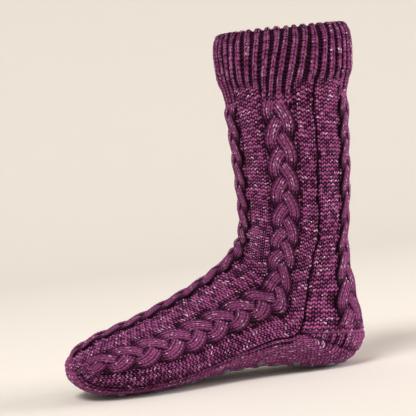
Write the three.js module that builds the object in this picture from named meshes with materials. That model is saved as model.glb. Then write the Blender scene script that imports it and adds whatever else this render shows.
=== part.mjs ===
// A knitted slipper sock in its worn shape, standing empty and unbent on the grip dots of its sole.
//
// Cuff, leg, heel pocket, instep, sole and toe are knitted in one go, so they are one hollow solid, knit_sock.
// Its form follows three lines of a right foot. The front line runs down the shin and over the instep to the toe,
// the back line down the calf, round the heel and along the sole, and the side line parts front from back.
// Each course of the knit is a pair of rounded arcs between those lines. The heel pocket is a wedge of arcs
// that all start at the gore corner, low on each side of the ankle.
// The only pieces that a maker adds are the round silicone grip dots under the sole.
//
// Millimetres, +Z up, toe towards -X, big toe side towards -Y, origin on the floor under the middle of the box.

import * as THREE from "three";

// Driving dimensions, all outside measures of the knit
const FOOT_LENGTH = 246;
const BALL_WIDTH = 90;
const ANKLE_WIDTH = 76;
const INSTEP_HEIGHT = 97;
const GORE_HEIGHT = 32;
const SHAFT_HEIGHT = 266;
const SHAFT_DEPTH = 88;
const CUFF_DEPTH = 107;
const CUFF_WIDTH = 101;

// Cloth, and the turned welt of the cuff, which is two layers
const KNIT_WALL = 3.2;
const CUFF_WALL = 2 * KNIT_WALL;
const RIM_ROUND = 1.8;

// Grip dots and their running clearance to the knit
const DOT_RADIUS = 3;
const DOT_HEIGHT = 1;
const DOT_BEVEL = 0.4;
const DOT_PITCH = 15;
const DOT_ROWS = 15;
const DOTS_IN_ROW = [3, 4];
const DOT_FIELD = { start: 0.088 * FOOT_LENGTH, length: 0.82 * FOOT_LENGTH, width: 0.57 * 2 };
const DOT_CLEARANCE = 0.3;

// How finely the solids are faceted
const ARC_STEPS = 22;
const STEPS_PER_ROW = 2;
const HEEL_STEPS = 9;
const DOT_SIDES = 12;

// How square an arc is: 2 is a true ellipse, and more is fuller at its shoulders
const SHAFT_ARC = 2.15;
const INSTEP_ARC = 2.0;
const HEEL_ARC = 2.4;
const SOLE_ARC = 2.8;
const TOE_ARC = 2.2;
const ARCH_SWELL = 5;

const KNIT_FLOOR = DOT_HEIGHT + DOT_CLEARANCE;
const LEG_AXIS = 0.195 * FOOT_LENGTH;
const LEG_RISE = SHAFT_HEIGHT - GORE_HEIGHT;

// The cuff and the leg, from the rim down to the gore corner. The first three columns are the heights of the side,
// front and back points over the gore corner, as shares of LEG_RISE. The next three are how far those points lie
// from the leg's axis, forward positive, as shares of half the depth. The last is the share of the full width.
const CUFF_COLUMNS = ["sideRise", "frontRise", "backRise", "toFront", "toSide", "toBack", "width"];
const CUFF_TABLE = {
  "rim": [1.0, 0.996, 1.004, 0.955, -0.16, -0.955, 0.945],
  "cuff top": [0.978, 0.974, 0.982, 0.99, -0.16, -0.99, 0.985],
  "cuff middle": [0.93, 0.927, 0.934, 1.0, -0.16, -1.0, 1.0],
  "cuff foot": [0.862, 0.858, 0.866, 0.975, -0.16, -0.975, 0.975],
  "cuff edge": [0.82, 0.812, 0.825, 0.915, -0.16, -0.915, 0.91],
};
const WELT_ROWS = 3;
const LEG_TABLE = {
  "under cuff": [0.772, 0.756, 0.78, 1.085, -0.17, -1.07, 1.15],
  "calf": [0.7, 0.675, 0.712, 1.05, -0.17, -1.04, 1.1],
  "low calf": [0.597, 0.565, 0.613, 1.02, -0.17, -1.015, 1.045],
  "over ankle": [0.485, 0.458, 0.507, 1.0, -0.165, -0.985, 1.0],
  "ankle": [0.367, 0.378, 0.392, 1.0, -0.12, -0.92, 0.985],
  "tendon": [0.24, 0.329, 0.255, 1.045, 0.03, -0.855, 0.97],
  "over gore": [0.115, 0.299, 0.11, 1.125, 0.22, -0.97, 0.945],
};

// The foot from the gore corner to the toe seam. x columns run forward from the heel as shares of FOOT_LENGTH.
// Front heights are shares of INSTEP_HEIGHT and side heights of GORE_HEIGHT. Width, shift towards the little toe,
// lift of the sole and lift of the inner arch are shares of BALL_WIDTH.
const FOOT_COLUMNS = ["frontX", "frontZ", "sideX", "sideZ", "width", "shift", "soleX", "lift", "arch"];
const FOOT_TABLE = {
  "gore corner": [0.413, 1.0, 0.268, 1.0, 0.79, 0.004, 0.26, 0.03, 0.006],
  "waist": [0.455, 0.902, 0.35, 0.97, 0.78, 0.02, 0.333, 0.047, 0.015],
  "arch": [0.516, 0.804, 0.435, 0.905, 0.8, 0.036, 0.419, 0.048, 0.021],
  "fore arch": [0.593, 0.706, 0.526, 0.83, 0.865, 0.045, 0.516, 0.028, 0.013],
  "outer ball": [0.675, 0.618, 0.618, 0.75, 0.95, 0.038, 0.614, 0.002, 0.003],
  "ball": [0.756, 0.545, 0.707, 0.69, 1.0, 0.012, 0.709, -0.012, 0],
  "toe roots": [0.836, 0.488, 0.795, 0.656, 0.955, -0.02, 0.802, -0.014, 0],
  "toes": [0.908, 0.433, 0.868, 0.65, 0.84, -0.047, 0.885, 0.004, 0],
  "toe front": [0.96, 0.365, 0.918, 0.653, 0.7, -0.065, 0.951, 0.058, 0],
  "toe nose": [0.992, 0.29, 0.946, 0.66, 0.555, -0.078, 0.988, 0.148, 0],
  "toe seam": [1.0, 0.22, 0.96, 0.667, 0.42, -0.085, 1.0, 0.237, 0],
};
const FULL_ARCH_ROW = 3;
const TOE_ROW = 7;

// The back line round the heel, from the top of the heel pocket to the front of the heel. x is a share of
// FOOT_LENGTH and z of GORE_HEIGHT. What falls below zero becomes the flat that the heel stands on.
const HEEL_COLUMNS = ["x", "z"];
const HEEL_TABLE = {
  "pocket top": [0.001, 0.75],
  "heel round": [0.01, 0.47],
  "heel corner": [0.034, 0.2],
  "heel under": [0.075, 0.035],
  "heel flat": [0.125, -0.045],
  "heel front": [0.19, -0.02],
};

function readTable(table, columns) {
  return Object.values(table).map((row) => Object.fromEntries(columns.map((name, i) => [name, row[i]])));
}

// A course is a pair of arcs. It has a front, a side and a back point, half a width, a shift towards the little toe,
// the lift of the arch and how square its two arcs are.
function shaftCourse(row, depth, width) {
  return {
    frontX: LEG_AXIS + (depth / 2) * row.toFront,
    frontZ: GORE_HEIGHT + LEG_RISE * row.frontRise,
    sideX: LEG_AXIS + (depth / 2) * row.toSide,
    sideZ: GORE_HEIGHT + LEG_RISE * row.sideRise,
    backX: LEG_AXIS + (depth / 2) * row.toBack,
    backZ: GORE_HEIGHT + LEG_RISE * row.backRise,
    half: (width / 2) * row.width,
    shift: 0,
    arch: 0,
    frontArc: SHAFT_ARC,
    backArc: SHAFT_ARC,
  };
}

function footCourse(row, i) {
  const overFoot = Math.min(1, i / FULL_ARCH_ROW);
  const overToe = Math.max(0, (i - TOE_ROW) / FULL_ARCH_ROW);
  return {
    frontX: FOOT_LENGTH * row.frontX,
    frontZ: INSTEP_HEIGHT * row.frontZ,
    sideX: FOOT_LENGTH * row.sideX,
    sideZ: GORE_HEIGHT * row.sideZ,
    backX: FOOT_LENGTH * row.soleX,
    backZ: BALL_WIDTH * row.lift,
    half: (BALL_WIDTH / 2) * row.width,
    shift: BALL_WIDTH * row.shift,
    arch: BALL_WIDTH * row.arch,
    frontArc: THREE.MathUtils.lerp(SHAFT_ARC, INSTEP_ARC, overFoot),
    backArc: THREE.MathUtils.lerp(SOLE_ARC, TOE_ARC, overToe),
  };
}

function heelCourse(row, i, rows) {
  return {
    ...foot[0],
    backX: FOOT_LENGTH * row.x,
    backZ: GORE_HEIGHT * row.z,
    arch: 0,
    backArc: THREE.MathUtils.lerp(HEEL_ARC, SOLE_ARC, i / rows.length),
  };
}

const foot = readTable(FOOT_TABLE, FOOT_COLUMNS).map(footCourse);
const toeSeam = foot.at(-1);
toeSeam.backX = toeSeam.frontX;
toeSeam.backZ = toeSeam.frontZ;
toeSeam.backArc = toeSeam.frontArc;
const heel = [...readTable(HEEL_TABLE, HEEL_COLUMNS).map(heelCourse), foot[0]];
const shaft = [
  ...readTable(CUFF_TABLE, CUFF_COLUMNS).map((row) => shaftCourse(row, CUFF_DEPTH, CUFF_WIDTH)),
  ...readTable(LEG_TABLE, CUFF_COLUMNS).map((row) => shaftCourse(row, SHAFT_DEPTH, ANKLE_WIDTH)),
  heel[0],
];

// A value on the smooth curve through evenly numbered values, at place t from 0 to count - 1.
function along(values, t) {
  const last = values.length - 1;
  const i = Math.min(Math.floor(t), last - 1);
  const s = t - i;
  const b = values[i];
  const c = values[i + 1];
  const a = i > 0 ? values[i - 1] : 2 * b - c;
  const d = i + 2 <= last ? values[i + 2] : 2 * c - b;
  return b + 0.5 * s * (c - a + s * (2 * a - 5 * b + 4 * c - d + s * (3 * (b - c) + d - a)));
}

// The course at place t of a list of courses, each of its measures taken along the smooth curve.
function courseAt(courses, t) {
  const found = {};
  for (const name of Object.keys(courses[0])) {
    found[name] = along(courses.map((course) => course[name]), t);
  }
  return found;
}

// The point of a half course at share a, from 0 at the outer side (+Y) to 1 at the inner side (-Y).
function arcPoint(course, half, a) {
  const turn = (a - 0.5) * Math.PI;
  const power = 2 / (half === "front" ? course.frontArc : course.backArc);
  const middle = Math.cos(turn) ** power;
  const out = -Math.sign(turn) * Math.abs(Math.sin(turn)) ** power;
  const x = half === "front" ? course.frontX : course.backX;
  const z = half === "front" ? course.frontZ : course.backZ;
  const archLift = half === "back" ? course.arch * ARCH_SWELL * middle * Math.max(0, -out) ** 2 : 0;
  return new THREE.Vector3(
    -(course.sideX + (x - course.sideX) * middle),
    course.shift + course.half * out,
    Math.max(0, course.sideZ + (z - course.sideZ) * middle + archLift) + KNIT_FLOOR,
  );
}

// The knit as one net: every half course is a row of point numbers, and both halves share their side points.
function knitNet() {
  const points = [];
  const frontRows = [];
  const backRows = [];
  const addPoint = (course, half, k) => points.push(arcPoint(course, half, k / ARC_STEPS)) - 1;
  const addFront = (course) => {
    frontRows.push(Array.from({ length: ARC_STEPS + 1 }, (_, k) => addPoint(course, "front", k)));
  };
  const addBack = (course) => {
    const sides = frontRows.at(-1);
    const between = Array.from({ length: ARC_STEPS - 1 }, (_, k) => addPoint(course, "back", k + 1));
    backRows.push([sides[0], ...between, sides.at(-1)]);
  };

  for (let r = 0; r <= (shaft.length - 1) * STEPS_PER_ROW; r++) {
    const course = courseAt(shaft, r / STEPS_PER_ROW);
    addFront(course);
    addBack(course);
  }
  for (let r = 1; r <= HEEL_STEPS; r++) {
    addBack(courseAt(heel, (r / HEEL_STEPS) * (heel.length - 1)));
  }
  for (let r = 1; r < (foot.length - 1) * STEPS_PER_ROW; r++) {
    const course = courseAt(foot, r / STEPS_PER_ROW);
    addFront(course);
    addBack(course);
  }
  addFront(toeSeam);
  backRows.push(frontRows.at(-1));
  return { points, frontRows, backRows };
}

// Two triangles for each cell between neighbouring rows, leaving out those that close up in a corner.
function sheet(rows, flip) {
  const index = [];
  const add = (a, b, c) => {
    if (a !== b && b !== c && c !== a) index.push(...(flip ? [a, c, b] : [a, b, c]));
  };
  for (let r = 0; r + 1 < rows.length; r++) {
    for (let k = 0; k < ARC_STEPS; k++) {
      add(rows[r][k], rows[r][k + 1], rows[r + 1][k + 1]);
      add(rows[r][k], rows[r + 1][k + 1], rows[r + 1][k]);
    }
  }
  return index;
}

function geometryOf(points, index) {
  const geometry = new THREE.BufferGeometry().setFromPoints(points);
  geometry.setIndex(index);
  geometry.computeVertexNormals();
  return geometry;
}

// The knit as a shell: outer sheet, inner sheet one wall further in, and the rounded fold at the rim.
function knitGeometry() {
  const { points, frontRows, backRows } = knitNet();
  const count = points.length;
  const outer = [...sheet(frontRows, true), ...sheet(backRows, false)];
  const normals = geometryOf(points, outer).getAttribute("normal");
  const weltRows = WELT_ROWS * STEPS_PER_ROW + 1;
  const welt = new Set([...frontRows.slice(0, weltRows), ...backRows.slice(0, weltRows)].flat());
  for (let n = 0; n < count; n++) {
    const outward = new THREE.Vector3().fromBufferAttribute(normals, n);
    if (welt.has(n)) outward.setZ(0);
    const wall = welt.has(n) ? CUFF_WALL : KNIT_WALL;
    points.push(points[n].clone().addScaledVector(outward.normalize(), -wall));
  }
  const index = [...outer];
  for (let i = 0; i < outer.length; i += 3) {
    index.push(outer[i] + count, outer[i + 2] + count, outer[i + 1] + count);
  }

  const rim = [...frontRows[0], ...backRows[0].slice(1, -1).reverse()];
  const crown = rim.map((n) => {
    const top = points[n].clone().lerp(points[n + count], 0.5);
    return points.push(top.setZ(top.z + RIM_ROUND)) - 1;
  });
  rim.forEach((n, i) => {
    const next = (i + 1) % rim.length;
    index.push(n, rim[next], crown[next], n, crown[next], crown[i]);
    index.push(crown[i], crown[next], rim[next] + count, crown[i], rim[next] + count, n + count);
  });
  return geometryOf(points, index);
}

// The place in the list of foot courses where the sole line passes x.
function soleRowAt(x) {
  const i = THREE.MathUtils.clamp(foot.findIndex((course) => course.backX > x), 0, foot.length - 1);
  if (i === 0) return 0;
  return i - 1 + (x - foot[i - 1].backX) / (foot[i].backX - foot[i - 1].backX);
}

// A disc whose upper face follows the knit over it. Its two faces are fans round a middle point.
function dotGeometry(x, y, seatHeight) {
  const ring = (radius, drop) =>
    Array.from({ length: DOT_SIDES }, (_, k) => {
      const turn = (k / DOT_SIDES) * 2 * Math.PI;
      const px = x + radius * Math.cos(turn);
      const py = y + radius * Math.sin(turn);
      return new THREE.Vector3(px, py, seatHeight(px, py) - drop);
    });
  const seat = new THREE.Vector3(x, y, seatHeight(x, y));
  const tread = new THREE.Vector3(x, y, seat.z - DOT_HEIGHT);
  const points = [...ring(DOT_RADIUS, 0), ...ring(DOT_RADIUS - DOT_BEVEL, DOT_HEIGHT), seat, tread];
  const top = 2 * DOT_SIDES;
  const bottom = top + 1;
  const index = [];
  for (let k = 0; k < DOT_SIDES; k++) {
    const n = (k + 1) % DOT_SIDES;
    index.push(top, k, n, bottom, n + DOT_SIDES, k + DOT_SIDES);
    index.push(k, k + DOT_SIDES, n + DOT_SIDES, k, n + DOT_SIDES, n);
  }
  return geometryOf(points, index);
}

// The dots stand in staggered rows, and the height of the knit over each is found by looking up from the floor.
function gripDots(knit) {
  const looker = new THREE.Raycaster();
  const up = new THREE.Vector3(0, 0, 1);
  const seatHeight = (x, y) => {
    looker.set(new THREE.Vector3(x, y, -1), up);
    const knitOver = looker.intersectObject(knit)[0];
    return knitOver.point.z - DOT_CLEARANCE / Math.abs(knitOver.face.normal.z);
  };
  const dots = [];
  for (let row = 0; row < DOT_ROWS; row++) {
    const x = DOT_FIELD.start + (row / (DOT_ROWS - 1)) * DOT_FIELD.length;
    const course = courseAt(foot, soleRowAt(x));
    const across = DOTS_IN_ROW[row % 2];
    const pitch = Math.min(DOT_PITCH, (course.half * DOT_FIELD.width) / (Math.max(...DOTS_IN_ROW) - 1));
    for (let k = 0; k < across; k++) {
      dots.push(dotGeometry(-x, course.shift + (k - (across - 1) / 2) * pitch, seatHeight));
    }
  }
  return dots;
}

const yarn = new THREE.MeshStandardMaterial({ name: "plum marl yarn", color: 0x6d2a5a, roughness: 0.92 });
yarn.side = THREE.DoubleSide;
const silicone = new THREE.MeshStandardMaterial({ name: "grip silicone", color: 0x5b5a70, roughness: 0.45 });

const sock = new THREE.Group();
const knit = new THREE.Mesh(knitGeometry(), yarn);
knit.name = "knit_sock";
sock.add(knit);
gripDots(knit).forEach((geometry, i) => {
  const dot = new THREE.Mesh(geometry, silicone);
  dot.name = `grip_dot_${String(i + 1).padStart(2, "0")}`;
  sock.add(dot);
});

const middle = new THREE.Box3().setFromObject(sock).getCenter(new THREE.Vector3());
sock.position.set(-middle.x, -middle.y, 0);

export default sock;
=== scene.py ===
# %% [markdown]
# # A chunky cable-knit slipper sock
#
# The real thing is one knitted tube: a ribbed cuff, a leg with plait cables on a purl ground, a turned
# heel, an instep that carries the cables on to the toe, and a smooth plain sole with silicone grip dots.
# The plan is to lay an even net of points over the sock's worn shape, so that every point knows which wale
# and which course it is on, and then to let one Geometry Nodes tree raise the stitches out of that net.

import math

import bpy
import numpy as np
from mathutils import Matrix, Vector


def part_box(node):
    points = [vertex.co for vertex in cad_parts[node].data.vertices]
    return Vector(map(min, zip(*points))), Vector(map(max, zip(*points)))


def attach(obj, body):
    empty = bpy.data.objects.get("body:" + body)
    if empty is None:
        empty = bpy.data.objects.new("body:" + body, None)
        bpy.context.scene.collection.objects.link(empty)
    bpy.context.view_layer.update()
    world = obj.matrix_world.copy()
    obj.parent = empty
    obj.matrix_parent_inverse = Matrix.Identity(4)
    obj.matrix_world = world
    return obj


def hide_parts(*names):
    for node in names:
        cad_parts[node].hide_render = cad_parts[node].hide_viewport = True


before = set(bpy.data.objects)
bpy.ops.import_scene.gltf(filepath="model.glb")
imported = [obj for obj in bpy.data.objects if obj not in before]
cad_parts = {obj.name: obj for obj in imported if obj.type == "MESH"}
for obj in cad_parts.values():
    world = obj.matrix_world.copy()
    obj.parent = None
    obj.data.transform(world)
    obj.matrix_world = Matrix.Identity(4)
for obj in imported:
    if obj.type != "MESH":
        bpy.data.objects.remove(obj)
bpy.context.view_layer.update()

# %% [markdown]
# ## The worn shape
#
# The sock is a stack of rings, and each ring is two arcs that meet at the sides. A table gives each ring's
# front, side and back points, and a smooth curve runs through the rings. These are the sizes of the CAD
# solid, so the visual model lies on it. Lengths are in millimetres until the meshes are made.

# %% The sock's sizes and its rings
FOOT_LENGTH = 246.0
BALL_WIDTH = 90.0
INSTEP_HEIGHT = 97.0
GORE_HEIGHT = 32.0
SHAFT_HEIGHT = 266.0
KNIT_WALL = 3.2
KNIT_FLOOR = 1.3
TOE_TIP = 120.235
LEG_AXIS = 0.195 * FOOT_LENGTH
CUFF = (107.0, 101.0)
LEG = (88.0, 76.0)
SHAFT_ARC = 2.15
CUFF_EDGE, GORE, HEEL_FRONT, TOE_SEAM = 4, 12, 18, 22
BACK_END = HEEL_FRONT + TOE_SEAM - GORE

CUFF_ROWS = [
    [1.0, 0.996, 1.004, 0.955, -0.16, -0.955, 0.945],
    [0.978, 0.974, 0.982, 0.99, -0.16, -0.99, 0.985],
    [0.93, 0.927, 0.934, 1.0, -0.16, -1.0, 1.0],
    [0.862, 0.858, 0.866, 0.975, -0.16, -0.975, 0.975],
    [0.82, 0.812, 0.825, 0.915, -0.16, -0.915, 0.91],
]
LEG_ROWS = [
    [0.772, 0.756, 0.78, 1.085, -0.17, -1.07, 1.15],
    [0.7, 0.675, 0.712, 1.05, -0.17, -1.04, 1.1],
    [0.597, 0.565, 0.613, 1.02, -0.17, -1.015, 1.045],
    [0.485, 0.458, 0.507, 1.0, -0.165, -0.985, 1.0],
    [0.367, 0.378, 0.392, 1.0, -0.12, -0.92, 0.985],
    [0.24, 0.329, 0.255, 1.045, 0.03, -0.855, 0.97],
    [0.115, 0.299, 0.11, 1.125, 0.22, -0.97, 0.945],
]
FOOT_ROWS = [
    [0.413, 1.0, 0.268, 1.0, 0.79, 0.004, 0.26, 0.03, 0.006],
    [0.455, 0.902, 0.35, 0.97, 0.78, 0.02, 0.333, 0.047, 0.015],
    [0.516, 0.804, 0.435, 0.905, 0.8, 0.036, 0.419, 0.048, 0.021],
    [0.593, 0.706, 0.526, 0.83, 0.865, 0.045, 0.516, 0.028, 0.013],
    [0.675, 0.618, 0.618, 0.75, 0.95, 0.038, 0.614, 0.002, 0.003],
    [0.756, 0.545, 0.707, 0.69, 1.0, 0.012, 0.709, -0.012, 0.0],
    [0.836, 0.488, 0.795, 0.656, 0.955, -0.02, 0.802, -0.014, 0.0],
    [0.908, 0.433, 0.868, 0.65, 0.84, -0.047, 0.885, 0.004, 0.0],
    [0.96, 0.365, 0.918, 0.653, 0.7, -0.065, 0.951, 0.058, 0.0],
    [0.992, 0.29, 0.946, 0.66, 0.555, -0.078, 0.988, 0.148, 0.0],
    [1.0, 0.22, 0.96, 0.667, 0.42, -0.085, 1.0, 0.237, 0.0],
]
HEEL_ROWS = [[0.001, 0.75], [0.01, 0.47], [0.034, 0.2], [0.075, 0.035], [0.125, -0.045], [0.19, -0.02]]


def shaft_ring(row, depth, width):
    heights = [GORE_HEIGHT + (SHAFT_HEIGHT - GORE_HEIGHT) * row[i] for i in (1, 0, 2)]
    places = [LEG_AXIS + depth / 2 * row[i] for i in (3, 4, 5)]
    pairs = [n for pair in zip(places, heights) for n in pair]
    return pairs + [width / 2 * row[6], 0, 0, SHAFT_ARC, SHAFT_ARC]


def foot_ring(i, row):
    on_sole = i < TOE_SEAM - GORE
    front = [FOOT_LENGTH * row[0], INSTEP_HEIGHT * row[1]]
    side = [FOOT_LENGTH * row[2], GORE_HEIGHT * row[3]]
    back = [FOOT_LENGTH * row[6], BALL_WIDTH * row[7]] if on_sole else front
    front_arc = SHAFT_ARC - 0.15 * min(1, i / 3)
    back_arc = 2.8 - 0.6 * max(0, (i - 7) / 3) if on_sole else front_arc
    wide = [BALL_WIDTH / 2 * row[4], BALL_WIDTH * row[5], BALL_WIDTH * row[8]]
    return front + side + back + wide + [front_arc, back_arc]


shaft = [shaft_ring(row, *CUFF) for row in CUFF_ROWS] + [shaft_ring(row, *LEG) for row in LEG_ROWS]
foot = [foot_ring(i, row) for i, row in enumerate(FOOT_ROWS)]
heel = [foot[0][:4] + [FOOT_LENGTH * x, GORE_HEIGHT * z] + foot[0][6:8] + [0, foot[0][9], 2.4 + 0.4 * i / 6]
        for i, (x, z) in enumerate(HEEL_ROWS)]
FRONT_RINGS = np.array(shaft + foot)
BACK_RINGS = np.array(shaft + heel + foot)
print("Rings down the front:", len(FRONT_RINGS), "and down the back:", len(BACK_RINGS))

# %% [markdown]
# A point of the cloth is found from two numbers: t, how far down the rings it is, and a, how far round the
# arc, from 0 at the outer side to 1 at the inner side. The rings' tables are joined by a Catmull-Rom curve,
# which goes through every ring. The back half has six rings more than the front, because the heel is turned
# there, and its side points stay in the corner of the heel meanwhile.

# %% A point of the cloth
SIDE_MEASURES = [2, 3, 6, 7]


def along(rings, t):
    last = len(rings) - 1
    i = np.clip(np.floor(t).astype(int), 0, last - 1)
    s = (t - i)[..., None]
    b, c = rings[i], rings[i + 1]
    a = np.where((i > 0)[..., None], rings[np.maximum(i - 1, 0)], 2 * b - c)
    d = np.where((i + 2 <= last)[..., None], rings[np.minimum(i + 2, last)], 2 * c - b)
    return b + 0.5 * s * (c - a + s * (2 * a - 5 * b + 4 * c - d + s * (3 * (b - c) + d - a)))


def side_of(t):
    """The place down the front's rings whose side points a place t of the back half has."""
    return np.where(t <= GORE, t, np.where(t < HEEL_FRONT, GORE, t - (HEEL_FRONT - GORE)))


def cloth_point(half, t, a):
    m = along(FRONT_RINGS if half == "front" else BACK_RINGS, t)
    if half == "back":
        m[..., SIDE_MEASURES] = along(FRONT_RINGS, side_of(t))[..., SIDE_MEASURES]
    front_x, front_z, side_x, side_z, back_x, back_z, wide, shift, lift, front_arc, back_arc = (
        np.moveaxis(m, -1, 0))
    x, z, arc = (front_x, front_z, front_arc) if half == "front" else (back_x, back_z, back_arc)
    turn = (a - 0.5) * np.pi
    middle = np.maximum(np.cos(turn), 0) ** (2 / arc)
    out = -np.sign(turn) * np.abs(np.sin(turn)) ** (2 / arc)
    arch = lift * 5 * middle * np.maximum(0, -out) ** 2 if half == "back" else 0
    height = np.maximum(0, side_z + (z - side_z) * middle + arch)
    return np.stack([TOE_TIP - (side_x + (x - side_x) * middle), shift + wide * out,
                     height + KNIT_FLOOR], axis=-1)


toe_seam = cloth_point("front", np.full(3, float(TOE_SEAM)), np.array([0, 0.5, 1]))
print("The toe seam runs through", toe_seam.round(1).tolist(), "mm")

# %% [markdown]
# Knitting keeps its stitches about one size, so the net must be even along the cloth and not along the
# numbers t and a. Two tables of lengths do that: how long each arc is from its outer side, and how long the
# front, side and back lines are from the cuff down. The courses bunch a little where the front of the ankle
# folds, as cloth does: the side line pulls on the courses of the middle line, by the two pulls below.

# %% Lengths over the cloth
LEG_COURSES = 62
FOOT_COURSES = 59
ALL_COURSES = LEG_COURSES + FOOT_COURSES
FRONT_PULL, BACK_PULL = 0.28, 0.25
ARC_PLACES = 0.5 - 0.5 * np.cos(np.linspace(0, np.pi, 321))
PER_RING = 20


def running_length(points, axis):
    """How far each point is from the first one along this axis of the array."""
    steps = np.linalg.norm(np.diff(points, axis=axis), axis=-1)
    lengths = np.cumsum(steps, axis=axis)
    return np.concatenate([0 * lengths.take([0], axis), lengths], axis=axis)


def line_length(half, t, a):
    return running_length(cloth_point(half, t, np.full(len(t), a)), 0)


ARCS = {}
for half, end in (("front", TOE_SEAM), ("back", BACK_END)):
    known = np.linspace(0, end, end * PER_RING + 1)
    arcs = cloth_point(half, *np.meshgrid(known, ARC_PLACES, indexing="ij"))
    ARCS[half] = known, running_length(arcs, 1)
print("Half girths at the ankle:", [arcs[9 * PER_RING, -1].round(1) for _, arcs in ARCS.values()], "mm")


def girth(half, t):
    known, arcs = ARCS[half]
    return np.interp(t, known, arcs[:, -1])


def net_of(half, t, share):
    """The points at these places t, one column for each share of the arc's length."""
    known, arcs = ARCS[half]
    table = np.array([np.interp(share, row / row[-1], ARC_PLACES) for row in arcs])
    places = np.stack([np.interp(t[:, j], known, table[:, j]) for j in range(len(share))], axis=1)
    return cloth_point(half, t, places)


def courses_down(half, t, count, first=0):
    """Course numbers down the side line and down the middle line of one half, from a list of places t."""
    side = line_length("front", t if half == "front" else side_of(t), 1.0)
    centre = line_length(half, t, 0.5)
    share = (1 - BACK_PULL) * centre / centre[-1] + BACK_PULL * side / side[-1]
    return first + count * side / side[-1], first + count * share


def net_rows(t, side_course, middle_course, rows, share):
    """The place t of every point of a net whose rows are courses."""
    towards_middle = 0.5 + 0.5 * np.cos(2 * np.pi * (share - 0.5))
    return np.stack([np.interp(rows, side_course + w * (middle_course - side_course), t)
                     for w in towards_middle], axis=1)

# %% [markdown]
# ## The nets
#
# Each half of the cloth gets a net with five rows of points to a course, fine enough for the loops to show.
# The columns of the leg's net run on up through the cuff, and the columns of the instep's net come from the
# leg's, so neighbouring pieces share the points of their borders and no gap can open between them.

# %% Points of the front, leg back, heel and sole
PER_COURSE = 5
HEEL_NET_ROWS = 131
FRONT_SHARE = np.linspace(0, 1, 281)
BACK_SHARE = np.linspace(0, 1, 221)

front_line = np.linspace(CUFF_EDGE, TOE_SEAM, 901)
leg_side, _ = courses_down("front", front_line[front_line <= GORE], LEG_COURSES)
foot_side, _ = courses_down("front", front_line[front_line >= GORE], FOOT_COURSES, LEG_COURSES)
front_side = np.concatenate([leg_side, foot_side[1:]])
centre = line_length("front", front_line, 0.5)
front_middle = (1 - FRONT_PULL) * ALL_COURSES * centre / centre[-1] + FRONT_PULL * front_side
front_course = np.linspace(0, ALL_COURSES, ALL_COURSES * PER_COURSE + 1)
front_t = net_rows(front_line, front_side, front_middle, front_course, FRONT_SHARE)
front_net = net_of("front", front_t, FRONT_SHARE)

leg_line = np.linspace(CUFF_EDGE, GORE, 401)
leg_course = np.linspace(0, LEG_COURSES, LEG_COURSES * PER_COURSE + 1)
_, back_middle = courses_down("back", leg_line, LEG_COURSES)
back_t = net_rows(leg_line, np.interp(leg_line, front_line, front_side), back_middle, leg_course, BACK_SHARE)
back_net = net_of("back", back_t, BACK_SHARE)

heel_line = np.linspace(GORE, HEEL_FRONT, 601)
heel_down = line_length("back", heel_line, 0.5)
heel_steps = np.linspace(0, heel_down[-1], HEEL_NET_ROWS)[:, None]
heel_t = np.interp(heel_steps, heel_down, heel_line) + 0 * BACK_SHARE
heel_net = net_of("back", heel_t, BACK_SHARE)

sole_line = np.linspace(HEEL_FRONT, BACK_END, 501)
sole_course = np.linspace(LEG_COURSES, ALL_COURSES, FOOT_COURSES * PER_COURSE + 1)
_, sole_middle = courses_down("back", sole_line, FOOT_COURSES, LEG_COURSES)
sole_side = np.interp(side_of(sole_line), front_line, front_side)
sole_t = net_rows(sole_line, sole_side, sole_middle, sole_course, BACK_SHARE)
sole_net = net_of("back", sole_t, BACK_SHARE)
print("Nets:", front_net.shape, back_net.shape, heel_net.shape, sole_net.shape)

# %% [markdown]
# The stitches stand out along the cloth's own direction, so every point needs it. It is the cross product
# of the steps to its neighbours. On the borders the two pieces' directions are averaged, and both get the
# same one.

# %% The cloth's outward directions


def unit(vectors):
    return vectors / np.maximum(np.linalg.norm(vectors, axis=-1, keepdims=True), 1e-9)


def outward(net, turn):
    return turn * unit(np.cross(np.gradient(net, axis=1), np.gradient(net, axis=0)))


def resampled(share, old_share, row):
    return np.stack([np.interp(share, old_share, row[:, k]) for k in range(3)], 1)


front_out = outward(front_net, -1)
whole_back = outward(np.concatenate([back_net, heel_net[1:], sole_net[1:]]), 1)
gore_row = len(leg_course) - 1
heel_end = gore_row + len(heel_net) - 1
for column in (0, -1):
    leg_sides = unit(front_out[: gore_row + 1, column] + whole_back[: gore_row + 1, column])
    foot_sides = unit(front_out[gore_row:, column] + whole_back[heel_end:, column])
    corner = unit(leg_sides[-2] + foot_sides[1])
    leg_sides[-1] = foot_sides[0] = corner
    front_out[: gore_row + 1, column] = whole_back[: gore_row + 1, column] = leg_sides
    front_out[gore_row:, column] = whole_back[heel_end:, column] = foot_sides
    whole_back[gore_row: heel_end + 1, column] = corner
whole_back[-1] = unit(whole_back[-1] + resampled(BACK_SHARE, FRONT_SHARE, front_out[-1]))
front_out[-1] = resampled(FRONT_SHARE, BACK_SHARE, whole_back[-1])
back_out = whole_back[: gore_row + 1]
heel_out = whole_back[gore_row: heel_end + 1]
sole_out = whole_back[heel_end:]
print("Outward directions at", front_out[..., 0].size + whole_back[..., 0].size, "points")

# %% [markdown]
# ## Where the pattern lies
#
# A knitting chart says what each stitch is. Here it is a set of smooth measures at every point: the wale
# and course number, how much the point is purl, plain, rib or cable, and how far the whole cloth is pressed
# in there, as in the furrow down the side. The chart of the front counts 100 places from its middle line to
# the side: a cable to 15, purl to 46, the side cable to 77, purl to the furrow at 100. The back counts 80:
# purl, a cable round 35, purl.

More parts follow.
